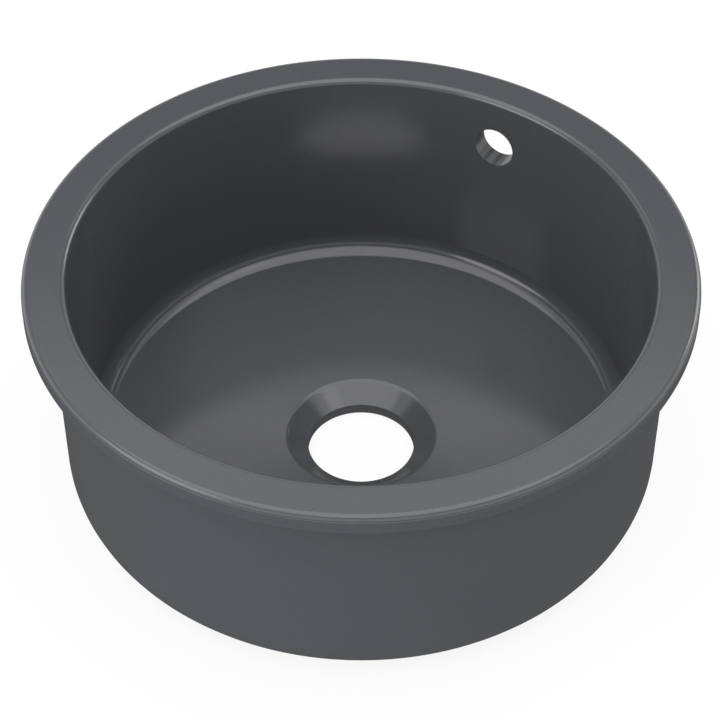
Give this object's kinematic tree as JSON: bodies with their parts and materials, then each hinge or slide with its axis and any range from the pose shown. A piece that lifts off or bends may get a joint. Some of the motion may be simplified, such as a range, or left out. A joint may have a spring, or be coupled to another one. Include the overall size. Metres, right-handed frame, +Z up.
{
  "type": "undermount kitchen sink",
  "caption": "Round undermount sink bowl with a flat rim, coved floor falling to an open waste hole, a round overflow hole and swing-out fixing clips under the rim.",
  "frame": {"origin": "centre of the flat base, on the bowl's axis", "axes": "+Z up along the bowl's axis, +Y towards the overflow hole at the back"},
  "size_m": [0.54, 0.5398, 0.214],
  "materials": {
    "composite": "satin",
    "insert_brass": "satin",
    "zinc_steel": "satin"
  },
  "bodies": {
    "sink": {"bowl": "composite", "threaded_inserts": "insert_brass", "clip_screws": "zinc_steel", "clip_washers": "zinc_steel"},
    "clip_1": {"fixing_clip_1": "zinc_steel"},
    "clip_2": {"fixing_clip_2": "zinc_steel"},
    "clip_3": {"fixing_clip_3": "zinc_steel"},
    "clip_4": {"fixing_clip_4": "zinc_steel"},
    "clip_5": {"fixing_clip_5": "zinc_steel"},
    "clip_6": {"fixing_clip_6": "zinc_steel"}
  },
  "joints": [
    {"name": "clip_1_swivel", "type": "hinge", "parent": "sink", "child": "clip_1", "pos_m": [0.26062, 0, 0.19625], "axis": [0, 0, -1], "range_deg": [0, 187.9]},
    {"name": "clip_2_swivel", "type": "hinge", "parent": "sink", "child": "clip_2", "pos_m": [0.13031, 0.22571, 0.19625], "axis": [0, 0, -1], "range_deg": [0, 187.9]},
    {"name": "clip_3_swivel", "type": "hinge", "parent": "sink", "child": "clip_3", "pos_m": [-0.13031, 0.22571, 0.19625], "axis": [0, 0, -1], "range_deg": [0, 187.9]},
    {"name": "clip_4_swivel", "type": "hinge", "parent": "sink", "child": "clip_4", "pos_m": [-0.26062, 0, 0.19625], "axis": [0, 0, -1], "range_deg": [0, 187.9]},
    {"name": "clip_5_swivel", "type": "hinge", "parent": "sink", "child": "clip_5", "pos_m": [-0.13031, -0.22571, 0.19625], "axis": [0, 0, -1], "range_deg": [0, 187.9]},
    {"name": "clip_6_swivel", "type": "hinge", "parent": "sink", "child": "clip_6", "pos_m": [0.13031, -0.22571, 0.19625], "axis": [0, 0, -1], "range_deg": [0, 187.9]}
  ]
}
